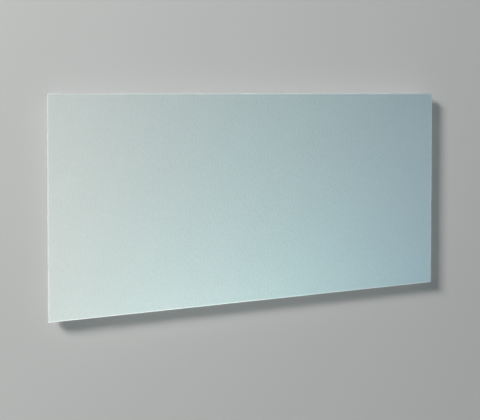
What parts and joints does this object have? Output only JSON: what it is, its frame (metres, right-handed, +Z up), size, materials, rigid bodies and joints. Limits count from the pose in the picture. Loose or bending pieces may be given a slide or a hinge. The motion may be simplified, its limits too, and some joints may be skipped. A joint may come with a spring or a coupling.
{
  "type": "infrared panel heater",
  "caption": "Flat frameless infrared panel heater that hooks onto a wall rail, with a beaded back cover, stand-offs and a junction box behind it.",
  "frame": {"origin": "on the wall face of the rail, midway between its outer fixing slots", "axes": "+Z up, +X along the panel to the right as seen from the room, -Y out of the heated front into the room"},
  "size_m": [1.2, 0.048, 0.6],
  "materials": {
    "front_enamel": "fine-grained white powder coat, satin",
    "zinc_sheet": "hot-dip galvanised sheet with a fine spangle",
    "zinc_bracket": "zinc-plated folded steel",
    "zinc_fastener": "bright zinc-plated steel",
    "rivet_alloy": "plain aluminium blind rivets",
    "black_rubber": "matt black rubber",
    "grey_seal": "soft grey rubber",
    "grey_moulding": "fine-spark dark grey polyamide",
    "black_moulding": "black polyamide",
    "white_moulding": "natural white polyamide",
    "brown_phenolic": "brown phenolic moulding with a metal cap",
    "brass": "bright brass",
    "copper": "rolled copper",
    "tin_plate": "tin-plated brass",
    "mica": "mica laminate sheet",
    "carbon_ink": "printed carbon",
    "foil": "bright aluminium foil",
    "mineral_board": "pressed mineral fibre",
    "brown_silicone": "brown silicone insulation",
    "blue_silicone": "blue silicone insulation",
    "green_silicone": "green and yellow silicone insulation"
  },
  "bodies": {
    "rail": {"wall_rail": "zinc_bracket"},
    "heater": {"front_panel": "front_enamel", "front_insulator": "mica", "heating_element": "carbon_ink", "busbar_upper": "copper", "busbar_lower": "copper", "rear_insulator": "mica", "heat_reflector": "foil", "insulation_board": "mineral_board", "back_cover": "zinc_sheet", "cover_screws": "zinc_fastener", "hanger_bracket_left": "zinc_bracket", "hanger_bracket_right": "zinc_bracket", "lower_standoff_left": "zinc_bracket", "lower_standoff_right": "zinc_bracket", "wall_buffer_left": "black_rubber", "wall_buffer_right": "black_rubber", "blind_rivets": "rivet_alloy", "thermal_cutout_left": "brown_phenolic", "thermal_cutout_right": "brown_phenolic", "cutout_tabs": "brass", "tab_receptacles": "tin_plate", "busbar_tags": "tin_plate", "live_lead": "brown_silicone", "cutout_link_lead": "brown_silicone", "element_lead": "brown_silicone", "neutral_lead": "blue_silicone", "earth_lead": "green_silicone", "junction_box_base": "grey_moulding", "junction_box_gasket": "grey_seal", "junction_box_lid": "grey_moulding", "lid_screws": "zinc_fastener", "box_screws": "zinc_fastener", "terminal_block": "white_moulding", "terminal_sleeves": "brass", "terminal_screws": "zinc_fastener", "block_screws": "zinc_fastener", "lead_grommet": "black_rubber", "earth_stud": "brass", "earth_nuts": "brass", "earth_ring_terminal": "tin_plate", "earth_star_washer": "zinc_fastener", "gland_body": "black_moulding", "gland_locknut": "black_moulding", "gland_seal": "grey_seal", "gland_nut": "black_moulding"}
  },
  "joints": [
    {"name": "panel_lift", "type": "slide", "parent": "rail", "child": "heater", "axis": [0, 0, 1], "range_m": [0, 0.015]}
  ]
}
